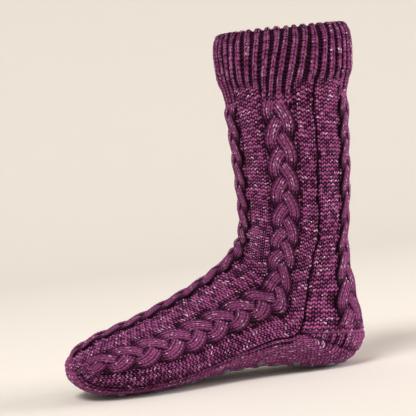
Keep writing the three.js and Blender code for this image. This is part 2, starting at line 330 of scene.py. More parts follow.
# %% Small helpers for the chart
FRONT_PLACES, BACK_PLACES = 100, 80
CABLE_HALF, SIDE_CABLE, BACK_CABLE = 15.5, 62, 35
BETWEEN_CABLES = SIDE_CABLE / 2
HEEL_WALES, SOLE_WALES = 36, 32
SIDE_FURROW = 1.9
GATHER_LENGTH = 19


def ease(x, low, high):
    """0 up to low, 1 from high on, and smooth between."""
    s = np.clip((x - low) / (high - low), 0, 1)
    return s * s * (3 - 2 * s)


def bell(x, width):
    """1 where x is 0, and next to nothing from twice the width on."""
    return np.exp(-((x / width) ** 2))


def rib_weight(across, course):
    """The share of rib. Ribs reach further down above a cable, which is where across is small."""
    ends = np.where(np.abs(across) < 1.05, 4.0, 0.8)
    return 1 - ease(course, ends - 3.6, ends)


def leaning(course, lean):
    """Course numbers of rows that are pulled up by this many courses under the cuff."""
    return course + lean * np.exp(-np.maximum(course, 0) / GATHER_LENGTH)

# %% [markdown]
# The leg ends in one furrow down the side, and the foot starts with two, with a single knit column between
# them. Further forward that pair runs down under the ball of the foot, so the purl ground reaches past the
# side line there. Rows of loops pull up at the side cable under the cuff, which is the lean. At the toe the
# loops fade into one row of small loops, where the toe is closed with a seam.

# %% The chart of the front half, which the edge of the sole shares
EDGE_DROP = np.array([0, 3, 6, 9.5, 13, 15, 15, 14, 11, 7, 3])
COURSE_OF_RING = np.interp(np.arange(GORE, TOE_SEAM + 1), front_line, front_side)
SEAM_LOOPS = 14
COURSE_HEIGHT = 2.6
LEAN_PLACES, LEAN_COURSES = [0, 15, 47, 62, 77, 100], [0.0, 0.3, 3.0, 3.6, 3.2, 0.0]


def furrow_wander(course):
    """How far, in mm, the side furrow strays from the side line, to the back."""
    calm = 1 - ease(course, LEG_COURSES - 8, LEG_COURSES - 2)
    return calm * (1.1 * np.sin(0.3 * course) + 0.5 * np.sin(0.9 * course + 1) + 0.3 * np.sin(2.7 * course))


def front_chart(middle, edge, course, sole_girth):
    """middle: mm from the middle line. edge: mm past the side line, less than zero before it."""
    drop = np.interp(course, COURSE_OF_RING, EDGE_DROP)
    past = edge - drop
    place = FRONT_PLACES * middle / (middle - past)
    across = np.where(place < BETWEEN_CABLES, place, place - SIDE_CABLE) / CABLE_HALF
    ground = np.clip(0.5 - past / 1.2, 0, 1)
    rib = rib_weight(across, course)
    cable = ease(course, 0.5, 6) * (1 - ease(course, ALL_COURSES - 6, ALL_COURSES - 0.6))
    to_seam = (ALL_COURSES - course) * COURSE_HEIGHT
    near_seam = 1 - bell(to_seam, 0.9)
    from_side = np.where(edge < 0, -edge / (middle - edge), edge / np.maximum(sole_girth / 2, 1))
    seam_loops = 0.5 + 0.5 * np.cos(2 * np.pi * SEAM_LOOPS * from_side)
    wale = np.interp(place, [0, 15.5, 46.5, 77.5, 100], [0, 4, 10, 17, 22])
    plain_wale = SOLE_WALES / 2 * (sole_girth / 2 - edge) / np.maximum(sole_girth / 2 - drop, 1)
    on_foot = ease(course, LEG_COURSES, LEG_COURSES + 3)
    press = -SIDE_FURROW * bell(edge + furrow_wander(course), 1.0) * (1 - on_foot)
    press -= on_foot * (1.7 * bell(past, 1.1) + 1.5 * bell(past - 3.6, 1.0))
    press -= 0.8 * cable * bell(np.abs(across) - 1.12, 0.08)
    press = press + (1.3 * seam_loops - 1.0) * bell(to_seam, 0.9) - 0.4 * bell(to_seam - 1.7, 0.6)
    return {"wale": np.where(past < 0, wale, plain_wale), "cable_place": across,
            "course": leaning(course, np.interp(place, LEAN_PLACES, LEAN_COURSES)),
            "purl": ground * (1 - rib) * near_seam, "plain": (1 - ground) * (1 - rib) * near_seam,
            "rib": rib, "cable": cable, "press": press}


print("Under the side line the purl ground reaches", EDGE_DROP.max(), "mm down, at the ball of the foot")

# %% The chart of the back half


def border_depth(place):
    """How deep the furrow between the leg and the heel is: shallow at the back, deeper at the sides."""
    return 0.45 + 0.65 * ease(place, 20, 56)


def back_chart(middle, edge, course):
    place = BACK_PLACES * middle / (middle - edge)
    across = (place - BACK_CABLE) / CABLE_HALF
    rib = rib_weight(across, course)
    end = 1 - ease(course, LEG_COURSES - 0.7, LEG_COURSES)
    cable = ease(course, 0.5, 6) * (1 - ease(course, LEG_COURSES - 2.5, LEG_COURSES - 0.6))
    press = -SIDE_FURROW * bell(edge - furrow_wander(course), 1.0)
    press -= border_depth(place) * bell((LEG_COURSES - course) * 3, 1.2)
    press -= 0.5 * cable * bell(np.abs(across) - 1.12, 0.07)
    lean = np.interp(place, [0, 20, 50, 80], [-3.2, -3.0, -2.6, 0.0])
    ground = np.clip(0.5 - edge / 1.2, 0, 1) * end
    return {"wale": np.interp(place, [0, 19.5, 50.5, 80], [0, 4, 11, 17]), "course": leaning(course, lean),
            "cable_place": across, "purl": ground * (1 - rib), "plain": (1 - ground) * (1 - rib) * end,
            "rib": rib, "cable": cable, "press": press}


print("The border of the heel is", border_depth(0), "mm deep at the back, and more at the sides")

# %% [markdown]
# The cuff's ribs are counted once round the whole tube, 44 of them, and wander a little as they go down.
# The ankle's folds and the shallow dents of worn cloth are listed one by one, as soft ridges across the
# front
# of the ankle: each has a course, a height in millimetres and a width in courses.

# %% Ribs and folds
RIBS = 44
FRONT_PART = 0.53
ANKLE_FOLDS = [(44.5, 0.7, 2.2), (49.5, 1.3, 2.3), (54.5, 1.5, 2.4), (59.5, 1.2, 2.3), (64.5, 0.7, 2.2)]
ANKLE_DIPS = [(47.0, -0.9, 1.6), (52.0, -1.4, 1.7), (57.0, -1.5, 1.7), (62.0, -1.0, 1.6)]


def rib_count(ring_share, course):
    drift = 1.3 * ease(course, -15, 2) * bell(ring_share - 0.45, 0.11)
    wander = 0.08 * np.sin(14 * np.pi * ring_share + 0.12 * course)
    wander += 0.06 * np.sin(34 * np.pi * ring_share + 0.35 * course)
    return RIBS * ring_share + drift + wander


def ankle_folds(course, side_share):
    """side_share: 0 on the middle line of the front, 1 on the side line."""
    across = (1 - ease(side_share, 0.25, 0.8)) * (1 - 0.5 * bell(side_share, 0.2))
    bend = course + 3.0 * side_share ** 2
    return across * sum(height * bell(bend - at, wide) for at, height, wide in ANKLE_FOLDS + ANKLE_DIPS)


print(RIBS, "ribs round the cuff,", len(ANKLE_FOLDS), "folds and", len(ANKLE_DIPS), "dips at the ankle")

# %% [markdown]
# Each net now gets its chart. The instep and the sole ask the same function at the side line, so their
# stitches agree there. Under the heel, a wale runs straight back from the sole, and a point finds its wale
# by how far it is from the middle of the sole, round the corner and up the side.

# %% Chart every net


def girth_and_middle(half, t, signed):
    """How long each row is, and how far its points are from the middle line."""
    around = girth(half, t)
    return around, np.maximum(np.abs(signed) * around, 0.01)


front_signed, back_signed = FRONT_SHARE - 0.5, BACK_SHARE - 0.5
front_girth, front_middle_mm = girth_and_middle("front", front_t, front_signed)
front_rows = front_course[:, None]
side_t = front_t[:, :1]
sole_girth_here = girth("back", np.where(side_t < GORE, side_t, side_t + HEEL_FRONT - GORE))
front = front_chart(front_middle_mm, front_middle_mm - front_girth / 2, front_rows, sole_girth_here)
middle_cable = front_middle_mm / (front_girth / 2) < BETWEEN_CABLES / FRONT_PLACES
front["cable_place"] *= np.where(middle_cable & (front_signed < 0), -1, 1)
FRONT_ROUND = FRONT_PART * FRONT_SHARE
BACK_ROUND = FRONT_PART + (1 - FRONT_PART) * (1 - BACK_SHARE)
front["rib_place"] = rib_count(FRONT_ROUND, front_rows) + 0 * front_t
front["press"] += ankle_folds(front_rows, np.abs(front_signed) * 2)

back_girth, back_middle_mm = girth_and_middle("back", back_t, back_signed)
back = back_chart(back_middle_mm, back_middle_mm - back_girth / 2, leg_course[:, None])
back["rib_place"] = rib_count(BACK_ROUND, leg_course[:, None]) + 0 * back_t

sole_girth, sole_middle_mm = girth_and_middle("back", sole_t, back_signed)
sole_edge = sole_girth / 2 - sole_middle_mm
instep_girth = girth("front", side_of(sole_t[:, :1]))
sole = front_chart(instep_girth / 2 + sole_edge, sole_edge, sole_course[:, None], sole_girth)
sole["cable"] = sole["rib_place"] = 0
for chart, signed in ((front, front_signed), (back, back_signed), (sole, back_signed)):
    chart["wale"] *= np.where(signed < 0, -1, 1)
print("Charted", front_t.size + back_t.size + sole_t.size, "points of the leg, instep and sole")

# %% Chart the heel
HEEL_COURSE, GATHER_WALES = 2.9, 1.6
BACK_MIDDLE = len(BACK_SHARE) // 2
back_away = np.abs(back_signed)
left_or_right = np.where(back_signed < 0, -1, 1)
down = running_length(heel_net, 0)
pocket_end = heel_t[:, 0].searchsorted(GORE + 2)
in_pocket = np.arange(len(heel_t))[:, None] <= pocket_end
past_pocket = down - down[pocket_end]
corner_gap = np.minimum(*(np.linalg.norm(heel_net - heel_net[:1, [c]], axis=2) for c in (0, -1)))
middle_line = heel_net[:, [BACK_MIDDLE]]
round_side = np.abs(heel_net[..., 1] - middle_line[..., 1]) + heel_net[..., 2] - middle_line[..., 2]
heel_share = np.interp(round_side, round_side[-1, BACK_MIDDLE:], back_away[BACK_MIDDLE:])
under_heel = (heel_net[..., 0] - heel_net[-1, :, 0]) / HEEL_COURSE
gathers = np.abs(np.sin(HEEL_WALES * np.pi * BACK_SHARE / GATHER_WALES)) ** 0.8 - 1
gathered = ease(back_away, 0.16, 0.26) * (1 - ease(back_away, 0.46, 0.5))
room = ease(down, 0.8, 3) * (1 - ease(past_pocket, -2, 1.5)) * ease(down[pocket_end], 4, 9)
pocket_press = -border_depth(2 * BACK_PLACES * back_away) * bell(down, 1.2) - 1.1 * bell(past_pocket, 1.4)
heel_chart = {
    "wale": np.where(in_pocket, HEEL_WALES * BACK_SHARE, SOLE_WALES * heel_share * left_or_right),
    "course": LEG_COURSES + np.where(in_pocket, down / HEEL_COURSE, -under_heel),
    "plain": ease(down, 0, 0.9) * (corner_gap > 1),
    "press": -2.3 * bell(corner_gap, 1.5) + pocket_press + 2.0 * gathers * gathered * room,
    "cable_place": 9, "purl": 0, "rib": 0, "cable": 0, "rib_place": 0,
}
for chart, net in ((heel_chart, heel_net), (sole, sole_net)):
    chart["press"] -= 0.45 * (1 - ease(net[..., 2], 8, 22))
print("The heel pocket is", down[pocket_end, BACK_MIDDLE].round(1), "mm deep at the back")

# %% [markdown]
# ## Sums in a node tree
#
# Blender's node trees do arithmetic with Math nodes. To keep the formulas readable, this small class wraps
# a socket, so that adding or multiplying two of them in Python adds the node and its wires. The same class
# writes the stitch formulas of the Geometry Nodes tree and the colour formulas of the yarn.

# %% A wire that can be added and multiplied


def add_node(tree, kind, inputs=(), **settings):
    """A new node with these settings. An input may be a number, a colour, a socket or a Wire."""
    node = tree.nodes.new(kind)
    for name, value in settings.items():
        setattr(node, name, value)
    for name, value in dict(inputs).items():
        value = value.socket if isinstance(value, Wire) else value
        if isinstance(value, bpy.types.NodeSocket):
            tree.links.new(value, node.inputs[name])
        else:
            node.inputs[name].default_value = value
    return node


def math_node(operation):
    """A way to ask a wire for this Math node."""
    def method(self, *others):
        node = add_node(self.tree, "ShaderNodeMath", enumerate((self, *others)), operation=operation)
        return Wire(self.tree, node.outputs[0])
    return method


class Wire:
    def __init__(self, tree, socket):
        self.tree, self.socket = tree, socket

    __add__, __sub__ = math_node("ADD"), math_node("SUBTRACT")
    __mul__, __truediv__ = math_node("MULTIPLY"), math_node("DIVIDE")
    __abs__, floor, fract = math_node("ABSOLUTE"), math_node("FLOOR"), math_node("FRACT")
    larger, smaller = math_node("MAXIMUM"), math_node("MINIMUM")
    above, below = math_node("GREATER_THAN"), math_node("LESS_THAN")
    sine, cosine, root = math_node("SINE"), math_node("COSINE"), math_node("SQRT")

    def less_from(self, number):
        """number - self"""
        return self * -1.0 + number

    def cubed(self):
        return self * self * self

    def between(self, low, high):
        return self.larger(low).smaller(high)

    def saw(self):
        """0 in the middle of each whole step, 1 at its ends."""
        return abs(self.fract() - 0.5) * 2.0

    def round_top(self):
        """The height of a round yarn at this share of its radius from its middle line."""
        return (self * self).less_from(1.0).larger(0.0).root()


def texture(tree, kind, vector, output=0, **sizes):
    """One output of a new texture node of this kind."""
    node = add_node(tree, "ShaderNodeTex" + kind, {"Vector": vector, **sizes})
    return Wire(tree, node.outputs[output])


def wire_vector(tree, x, y, z):
    return add_node(tree, "ShaderNodeCombineXYZ", enumerate((x, y, z))).outputs[0]


def mixed(low, high, share):
    """low where share is 0, high where it is 1."""
    return low + (high - low) * share


def plain_stitch(x, y):
    """Two legs to a wale x. They lean together, and each loop is fullest half way up its course y."""
    from_middle = x.saw()
    leg = (from_middle * 2.0 - 1.0).round_top()
    up = (y - from_middle * 0.7).saw()
    loop = up.cubed().less_from(1.0) * 0.55 + 0.45
    return leg * loop - from_middle.cubed() * 0.3


print("A wire can ask for", [name for name in vars(Wire) if not name.startswith("_")])

# %% [markdown]
# ## The stitch tree
#
# This Geometry Nodes tree reads the chart at each point and works out how high the yarn stands there. A
# plain stitch is a V of two legs, and columns of them make a wale. A purl stitch shows its back, one wavy
# ridge to a course. A rib is a raised wale between deep gaps. A plait is three strands that swing from side
# to side a third of a turn apart, each on top on its way out, and each strand is three wales wide. The
# strands' swing and half width are shares of the cable's half width, and a rib's is a share of its place.
# The tree then moves the points outwards.

# %% Build the stitch tree
STITCH_SIZES = {
    "Purl depth": 1.5, "Plain depth": 1.2, "Rib depth": 3.0, "Cable height": 1.8, "Cable turn": 21.4,
    "Unevenness": 1.0, "Seed": 7.0,
}
STRAND_SWING, STRAND_HALF, RIB_HALF = 0.58, 0.49, 0.74


def new_tree(name, sizes, finish):
    """A Geometry Nodes tree that takes a shape, these sizes and a material, and its input sockets."""
    tree = bpy.data.node_groups.new(name, "GeometryNodeTree")
    tree.interface.new_socket("Geometry", in_out="INPUT", socket_type="NodeSocketGeometry")
    for size, value in sizes.items():
        tree.interface.new_socket(size, in_out="INPUT", socket_type="NodeSocketFloat").default_value = value
    tree.interface.new_socket(finish, in_out="INPUT", socket_type="NodeSocketMaterial")
    tree.interface.new_socket("Geometry", in_out="OUTPUT", socket_type="NodeSocketGeometry")
    return tree, add_node(tree, "NodeGroupInput").outputs


def end_tree(tree, shape, finish):
    real = add_node(tree, "GeometryNodeRealizeInstances", {"Geometry": shape})
    coated = add_node(tree, "GeometryNodeSetMaterial", {"Geometry": real.outputs[0], "Material": finish})
    add_node(tree, "NodeGroupOutput", {"Geometry": coated.outputs[0]})


def read_chart(tree, name, kind="FLOAT"):
    node = add_node(tree, "GeometryNodeInputNamedAttribute", {"Name": name}, data_type=kind)
    return Wire(tree, node.outputs["Attribute"])


def stitch_tree():
    tree, given = new_tree("stitches", STITCH_SIZES, "Yarn")
    size = {name: Wire(tree, given[name]) for name in STITCH_SIZES}

    def chart(name):
        return read_chart(tree, name)

    def noise(x, y, z):
        return texture(tree, "Noise", wire_vector(tree, x, y, z), Scale=1.0, Detail=1.0) - 0.5

    wale, course = chart("wale"), chart("course")
    soft_x = noise(wale * 0.31, course * 0.23, size["Seed"]) * size["Unevenness"]
    soft_y = noise(wale * 0.27, course * 0.35, size["Seed"] + 9.0) * size["Unevenness"]
    u, v = wale + soft_x * 0.35, course + soft_y * 0.45
    loop = wire_vector(tree, u.floor(), v.floor(), size["Seed"])
    loop_luck = (texture(tree, "WhiteNoise", loop, "Value") - 0.5) * size["Unevenness"]

    wave = (u * (2 * math.pi)).cosine()
    purl_gap = (v - wave * 0.2).saw()
    purl = purl_gap.round_top() * (abs(wave) * 0.42 + 0.58) * (loop_luck * 0.5 + 1.0)
    plain = plain_stitch(u, v) * (loop_luck * 0.3 + 1.0)

    rib_place = chart("rib_place")
    rib_side = rib_place.saw() / RIB_HALF
    rib_column = (rib_side * 0.98).round_top()
    rib_loop = (v - rib_side * 0.6).saw()
    rib_loop = ((rib_loop * rib_loop).less_from(1.0) * 0.36 + 0.64) * (loop_luck * 0.3 + 1.0)
    rib_leg = ((rib_side * 2.0 - 1.0).round_top() * 0.58 + 0.42) * rib_loop
    purl_bar = (v + 0.5).saw().round_top() * (rib_side * 5.0 - 4.6).between(0.0, 1.0)
    rib = rib_column * (rib_leg * 0.45 + 0.6) + purl_bar * 0.36

    cable_place = chart("cable_place")
    lifts, gaps, depths = [], [], []
    for strand in range(3):
        phase = v / size["Cable turn"] * (2 * math.pi) + (0.1 + strand * 2 * math.pi / 3)
        swing = phase.sine() * STRAND_SWING
        tilt = phase.cosine()
        over = (phase * 2.0).sine()
        gap = (cable_place - swing) / ((tilt * tilt * 0.5 + 1.0).root() * STRAND_HALF)
        inside = abs(gap).below(1.0)
        lifts.append((gap * gap).round_top() * 0.6 + over * 0.4 + inside * 3.0 - 3.0)
        gaps.append(gap)
        depths.append(over)
    top = lifts[0].larger(lifts[1]).larger(lifts[2])
    mine = [lift.above(top - 0.0001) for lift in lifts]
    strand_gap = (mine[0] * gaps[0] + mine[1] * gaps[1] + mine[2] * gaps[2]).between(-1.0, 1.0)
    strand_over = mine[0] * depths[0] + mine[1] * depths[1] + mine[2] * depths[2]
    strand_stitch = plain_stitch(strand_gap * 1.5 + 0.5, v)

    press = chart("press")
    purl_share, plain_share, rib_share, cable_share = (chart(n) for n in ("purl", "plain", "rib", "cable"))
    ground = press + purl_share * size["Purl depth"] * (purl - 0.6)
    ground += plain_share * size["Plain depth"] * (plain - 0.6)
    ground += rib_share * size["Rib depth"] * (rib - 0.5)
    plait = press + size["Cable height"] * (top + 0.25) * cable_share
    plait = plait + strand_stitch * 0.75 + (cable_share - 1.0) * 4.0
    height = ground.larger(plait)
    on_cable = plait.above(ground)

    # Painted shade: the hollow measure darkens the colour in the gaps between loops, at the edges of the
    # cable strands, where a strand passes under another, and where the cloth is pressed in, as shade would.
    # It also makes the cables a little darker all over.
    edge = strand_gap * strand_gap
    ground_hollow = purl_share * purl.less_from(0.97) * 1.4 + plain_share * plain.less_from(0.92) * 0.95
    rib_hollow = rib_leg.less_from(1.02) * 1.15 + rib_column.less_from(1.0) * 0.75 - purl_bar
    ground_hollow += rib_share * rib_hollow
    cable_hollow = edge.cubed() * 0.95 + strand_stitch.less_from(0.92) * 0.52
    cable_hollow = cable_hollow + (strand_over * -0.32).between(0.0, 0.32) + 0.17
    hollow = mixed(ground_hollow, cable_hollow, on_cable) + (press * -0.26).between(0.0, 0.8)
    hollow = hollow.between(0.0, 1.0)
    purl_rules = (purl_share - plain_share - rib_share - on_cable * 2.0).above(0.0)
    across_yarn = mixed(u * 2.0 + rib_place * 2.0, strand_gap * 3.0, on_cable)
    run = mixed(v * 0.9 + across_yarn.floor() * 3.7, u + v.floor() * 5.3, purl_rules)
    side = mixed(across_yarn, v - wave * 0.2, purl_rules)

    push = {0: read_chart(tree, "out", "FLOAT_VECTOR"), "Scale": height * 0.001}
    push = add_node(tree, "ShaderNodeVectorMath", push, operation="SCALE").outputs[0]
    moved = {"Geometry": given["Geometry"], "Offset": push}
    flow = add_node(tree, "GeometryNodeSetPosition", moved).outputs[0]
    yarn = wire_vector(tree, run, side, on_cable * 17.0)
    for name, kind, value in (("hollow", "FLOAT", hollow), ("yarn", "FLOAT_VECTOR", yarn)):
        kept = {"Geometry": flow, "Name": name, "Value": value}
        keep = add_node(tree, "GeometryNodeStoreNamedAttribute", kept, data_type=kind, domain="POINT")
        flow = keep.outputs[0]
    end_tree(tree, flow, given["Yarn"])
    return tree


STITCHES = stitch_tree()
print("The stitch tree has", len(STITCHES.nodes), "nodes")

# %% [markdown]
# ## Yarn and silicone
#
# The yarn is a marl: plum, with streaks of a pinker strand, and short pale slubs. Its colour follows the
# yarn's own run, which the tree left in the attribute called yarn, so that streaks and slubs lie along each
# loop. The shade in the deep gaps between loops is painted: a stored attribute darkens the colour there.
# A picture of knitting could be laid over the shape instead, but its loops would stretch where the cloth
# widens, and they would be flat at the edge of the sock. The inside of the cloth shows little, so its loops
# are only colour and bump, which the attribute called lining turns on there, and their colour is painted
# shade in the gaps. A touch of sheen stands for the fuzz of brushed yarn.

# %% Material helpers


def new_material(name, colour, roughness):
    material = bpy.data.materials.new(name)
    material.use_nodes = True
    shader = material.node_tree.nodes["Principled BSDF"]
    shader.inputs["Base Color"].default_value = (*colour, 1)
    shader.inputs["Roughness"].default_value = roughness
    material.diffuse_color = (*colour, 1)
    return material, material.node_tree, shader


def ramp(tree, factor, stops):
    node = add_node(tree, "ShaderNodeValToRGB", {"Fac": factor})
    while len(node.color_ramp.elements) < len(stops):
        node.color_ramp.elements.new(0.5)
    for element, (place, colour) in zip(node.color_ramp.elements, stops):
        element.position, element.color = place, (*colour, 1)
    return node.outputs["Color"]


def blend_colours(tree, share, low, high, way="MIX"):
    parts = {"Factor": share, 6: low, 7: high}
    return add_node(tree, "ShaderNodeMix", parts, data_type="RGBA", blend_type=way).outputs[2]


def placed(tree, vector, scale):
    return add_node(tree, "ShaderNodeMapping", {"Vector": vector, "Scale": scale}).outputs["Vector"]


def attribute(tree, name, output="Fac"):
    return Wire(tree, add_node(tree, "ShaderNodeAttribute", attribute_name=name).outputs[output])


def coordinates(tree, kind="Object"):
    return add_node(tree, "ShaderNodeTexCoord").outputs[kind]


def add_bump(tree, shader, height, strength, distance):
    sizes = {"Height": height, "Strength": strength, "Distance": distance}
    tree.links.new(add_node(tree, "ShaderNodeBump", sizes).outputs["Normal"], shader.inputs["Normal"])


# %% Plum marl yarn
marl, tree, shader = new_material("plum_marl_yarn", (0.16, 0.032, 0.115), 0.82)
yarn = attribute(tree, "yarn", "Vector")
hollow = attribute(tree, "hollow")
streaks = texture(tree, "Noise", placed(tree, yarn, (1.7, 4.5, 1.0)), Scale=1.0, Detail=4.0, Roughness=0.65)
base = ramp(tree, streaks, [(0.30, (0.22, 0.034, 0.14)), (0.44, (0.41, 0.085, 0.27)),
                            (0.57, (0.64, 0.17, 0.44)), (0.72, (0.9, 0.42, 0.74))])
slubs = {"Vector": placed(tree, yarn, (1.3, 2.3, 1.0)), "Scale": 1.0, "Randomness": 1.0}
slubs = add_node(tree, "ShaderNodeTexVoronoi", slubs).outputs
cell_luck = Wire(tree, slubs["Color"]).above(0.71)
near_middle = Wire(tree, slubs["Distance"]).below(0.36)
slub = cell_luck * near_middle * hollow.below(0.4)
lining = attribute(tree, "lining")
inner_loop = plain_stitch(attribute(tree, "wale"), attribute(tree, "course"))
# Painted shade: the ramp below darkens the yarn where the hollow measure is high, and on the lining in the
# gaps of its drawn loops.
depth = hollow + lining * inner_loop.less_from(0.75)
painted_shade_tint = ramp(tree, depth, [(0.0, (1, 1, 1)), (0.22, (0.66, 0.61, 0.65)),
                          (0.5, (0.15, 0.10, 0.135)), (0.8, (0.014, 0.007, 0.012))])
shaded = blend_colours(tree, 1.0, base, painted_shade_tint, "MULTIPLY")
tree.links.new(blend_colours(tree, slub, shaded, (0.95, 0.8, 0.93, 1)), shader.inputs["Base Color"])
for name, value in (("Sheen Weight", 0.07), ("Sheen Roughness", 0.45), ("Specular IOR Level", 0.05),
                    ("Sheen Tint", (1.0, 0.45, 0.85, 1))):
    shader.inputs[name].default_value = value
grain = placed(tree, yarn, (2.2, 1.6, 1.0))
twist = texture(tree, "Wave", grain, "Fac", Scale=1.0, Distortion=1.5, Detail=1.0)
fuzz = texture(tree, "Noise", coordinates(tree), Scale=1500.0, Detail=3.0)
add_bump(tree, shader, twist * 0.6 + fuzz * 0.5 + lining * inner_loop * 2.0, 0.8, 0.0006)
print("Yarn material nodes:", len(tree.nodes))

# %% Grip silicone
silicone, tree, shader = new_material("grip_silicone", (0.16, 0.16, 0.25), 0.38)
clouds = texture(tree, "Noise", coordinates(tree), Scale=420.0, Detail=3.0)
cloudy = ramp(tree, clouds, [(0.3, (0.12, 0.12, 0.2)), (0.7, (0.21, 0.21, 0.31))])
tree.links.new(cloudy, shader.inputs["Base Color"])
add_bump(tree, shader, clouds, 0.25, 0.0002)
print("Silicone material nodes:", len(tree.nodes))

# %% [markdown]
# ## From a net to a closed piece
#
# Real cloth has a thickness, so each net becomes a thin closed body: the fine net outside, a coarser one a
# wall further in, and a rim of wide faces between them. Its border edges are marked sharp, so that the rim
# doesn't bend the shading of the knit. The map lays the outer net out as one flat sheet, which is how the
# cloth would be charted.

# %% Meshes from arrays
CHART_NAMES = ["wale", "course", "purl", "plain", "rib", "rib_place", "cable", "cable_place", "press"]


def fill(items, name, values, kind=np.float32):
    items.foreach_set(name, values.astype(kind).ravel())


def mesh_of(name, points, groups, maps, border):
    """points are in mm, groups are faces by their number of corners, border says which points lie on one."""
    mesh = bpy.data.meshes.new(name)
    mesh.vertices.add(len(points))
    fill(mesh.vertices, "co", points / 1000)
    corners = np.concatenate([g.ravel() for g in groups])
    sizes = np.concatenate([np.full(len(g), g.shape[1]) for g in groups])
    mesh.loops.add(len(corners))
    fill(mesh.loops, "vertex_index", corners, np.int32)
    mesh.polygons.add(len(sizes))
    fill(mesh.polygons, "loop_start", np.cumsum(sizes) - sizes, np.int32)
    mesh.update(calc_edges=True)
    uv = mesh.uv_layers.new(name="OFBake")
    fill(uv.data, "uv", np.concatenate([m.reshape(-1, 2) for m in maps]))
    ends = np.zeros(len(mesh.edges) * 2, dtype=np.int32)
    mesh.edges.foreach_get("vertices", ends)
    sharp = mesh.attributes.new("sharp_edge", "BOOLEAN", "EDGE")
    fill(sharp.data, "value", border[ends.reshape(-1, 2)].all(axis=1), bool)
    return mesh


def add_chart(mesh, chart, out):
    """The chart and the outward directions, as attributes of the points."""
    for name, values in chart.items():
        fill(mesh.attributes.new(name, "FLOAT", "POINT").data, "value", values)
    fill(mesh.attributes.new("out", "FLOAT_VECTOR", "POINT").data, "vector", out)


def cells(grid):
    """The four corners of each cell of a grid, in their order round the cell."""
    corners = np.stack([grid[:-1, :-1], grid[:-1, 1:], grid[1:, 1:], grid[1:, :-1]], axis=2)
    return corners.reshape(-1, 4, *grid.shape[2:])


def no_repeats(faces, maps):
    """Four-sided faces whose repeated corner is dropped, as two groups: four-sided and three-sided."""
    same = faces == np.roll(faces, -1, axis=1)
    whole = ~same.any(axis=1)
    groups, kept = [faces[whole]], [maps[whole]]
    for k in range(4):
        three = same[:, k] & (same.sum(axis=1) == 1)
        keep = [j for j in range(4) if j != k]
        groups.append(faces[three][:, keep])
        kept.append(maps[three][:, keep])
    return groups, kept


# %% A closed piece from a net
STEP = 5
KNIT_MEASURES = ["purl", "plain", "rib", "cable", "press"]


def slab(name, net, out, chart, turned, pinched=False):
    """A closed body of the net and its inner wall. A pinched net ends in one point at each side."""
    rows, cols = net.shape[:2]
    count = rows * cols
    outer = np.arange(count).reshape(rows, cols)
    inner = count + np.arange(outer[::STEP, ::STEP].size).reshape(outer[::STEP, ::STEP].shape)
    if pinched:
        for grid in (outer, inner):
            grid[:, 0], grid[:, -1] = grid[0, 0], grid[0, -1]
    inner_net = (net - KNIT_WALL * out)[::STEP, ::STEP]
    points = np.concatenate([net.reshape(-1, 3), inner_net.reshape(-1, 3)])
    down, across = np.meshgrid(np.linspace(0, 1, rows), np.linspace(0, 1, cols), indexing="ij")
    outer_map = np.stack([0.005 + 0.875 * across, 0.005 + 0.99 * down], axis=-1)
    inner_map = np.stack([0.89 + 0.09 * across, 0.005 + 0.99 * down], axis=-1)[::STEP, ::STEP]
    groups, maps = [], []
    for grid, values, order in ((outer, outer_map, [0, 1, 2, 3]), (inner, inner_map, [0, 3, 2, 1])):
        faces, places = no_repeats(cells(grid)[:, order], cells(values)[:, order])
        groups += faces
        maps += places
    border = np.zeros(len(points), dtype=bool)
    sides = [(outer[0], inner[0], -1), (outer[-1], inner[-1], 1)]
    if not pinched:
        sides += [(outer[:, 0], inner[:, 0], 1), (outer[:, -1], inner[:, -1], -1)]
    for k, (fine, coarse, way) in enumerate(sides):
        border[fine] = border[coarse] = True
        starts = np.arange(len(coarse) - 1)[:, None]
        window = starts * STEP + np.arange(STEP + 1)
        wall = np.concatenate([fine[window], coarse[starts + 1], coarse[starts]], axis=1)
        edge = np.linspace(0.01, 0.99, len(fine))[window]
        strip = np.concatenate([edge, edge[:, -1:], edge[:, :1]], axis=1)
        x = np.full(strip.shape, 0.983 + 0.004 * k)
        x[:, -2:] += 0.002
        groups.append(wall[:, ::way])
        maps.append(np.stack([x, strip], axis=-1)[:, ::way])
    if turned:
        groups, maps = [g[:, ::-1] for g in groups], [m[:, ::-1] for m in maps]
    used, back_to = np.unique(np.concatenate([g.ravel() for g in groups]), return_inverse=True)
    lengths = np.cumsum([g.size for g in groups])[:-1]
    groups = [part.reshape(g.shape) for part, g in zip(np.split(back_to, lengths), groups)]
    mesh = mesh_of(name, points[used], groups, maps, border[used])
    measures = {}
    for measure in CHART_NAMES:
        grid = chart[measure] + 0.0 * net[..., 0]
        inside = grid[::STEP, ::STEP].ravel() * (measure not in KNIT_MEASURES)
        measures[measure] = np.concatenate([grid.ravel(), inside])[used]
    outs = np.concatenate([out.reshape(-1, 3), -out[::STEP, ::STEP].reshape(-1, 3)])[used]
    add_chart(mesh, {**measures, "lining": used >= count}, outs)
    return mesh

# %% [markdown]
# The tree goes on each closed piece as a modifier, and its sizes are set by the identifiers of its inputs.
# Blender works the shape out once, and the result is kept as a plain mesh. Every piece is meant to weigh
# less than two hundred thousand triangles, which is why the tube is cut into five: leg front, leg back,
# heel, instep and sole.

# %% Raise the stitches


def new_object(name, data):
    thing = bpy.data.objects.new(name, data)
    bpy.context.scene.collection.objects.link(thing)
    return thing


